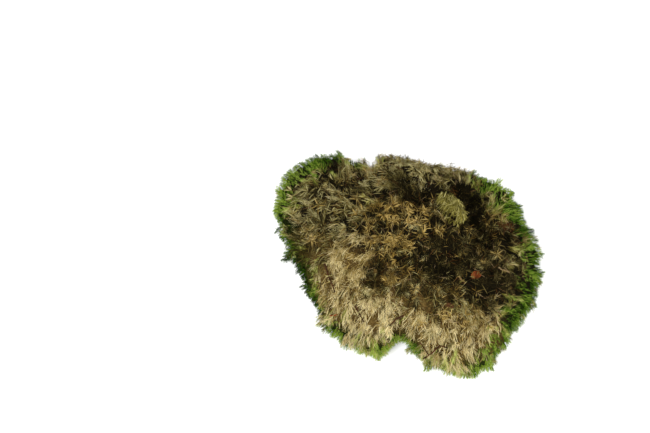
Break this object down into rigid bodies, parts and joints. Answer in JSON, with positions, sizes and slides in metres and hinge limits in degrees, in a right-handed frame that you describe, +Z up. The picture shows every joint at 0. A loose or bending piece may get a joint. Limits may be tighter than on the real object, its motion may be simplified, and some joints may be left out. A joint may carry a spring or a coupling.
{
  "type": "moss clump",
  "caption": "Cushion of forest moss lying overturned, brown matted underside up over a green leafy dome, with loose twigs and leaf scraps on it.",
  "frame": {"origin": "middle of the clump's box, on the surface that it lies on", "axes": "+Z up, +X along the clump's longest side, -Y the near side with the straw-coloured apron"},
  "size_m": [0.218, 0.196, 0.069],
  "materials": {
    "dead_moss": "dry matted dead moss shoots, straw to dark brown, matt",
    "living_moss": "living leafy shoots, yellow-green tips over deep green, slight waxy sheen",
    "humus": "damp crumbly humus between the shoots, matt",
    "dark_twig": "weathered thin twig, dark brown, dull",
    "pale_twig": "bleached stalk without bark, smooth",
    "red_needle": "dead conifer needle, reddish brown, slightly glossy",
    "dry_leaf": "scrap of dead leaf, orange-brown, papery"
  },
  "bodies": {
    "root": {"moss_clump": "dead_moss", "twig_left": "dark_twig", "twig_mid": "dark_twig", "twig_forked": "dark_twig", "twig_low_left": "dark_twig", "twig_pale": "pale_twig", "straw_mid": "pale_twig", "straw_right": "pale_twig", "needle_red": "red_needle", "leaf_scrap": "dry_leaf", "bark_scrap": "dry_leaf"}
  },
  "joints": []
}
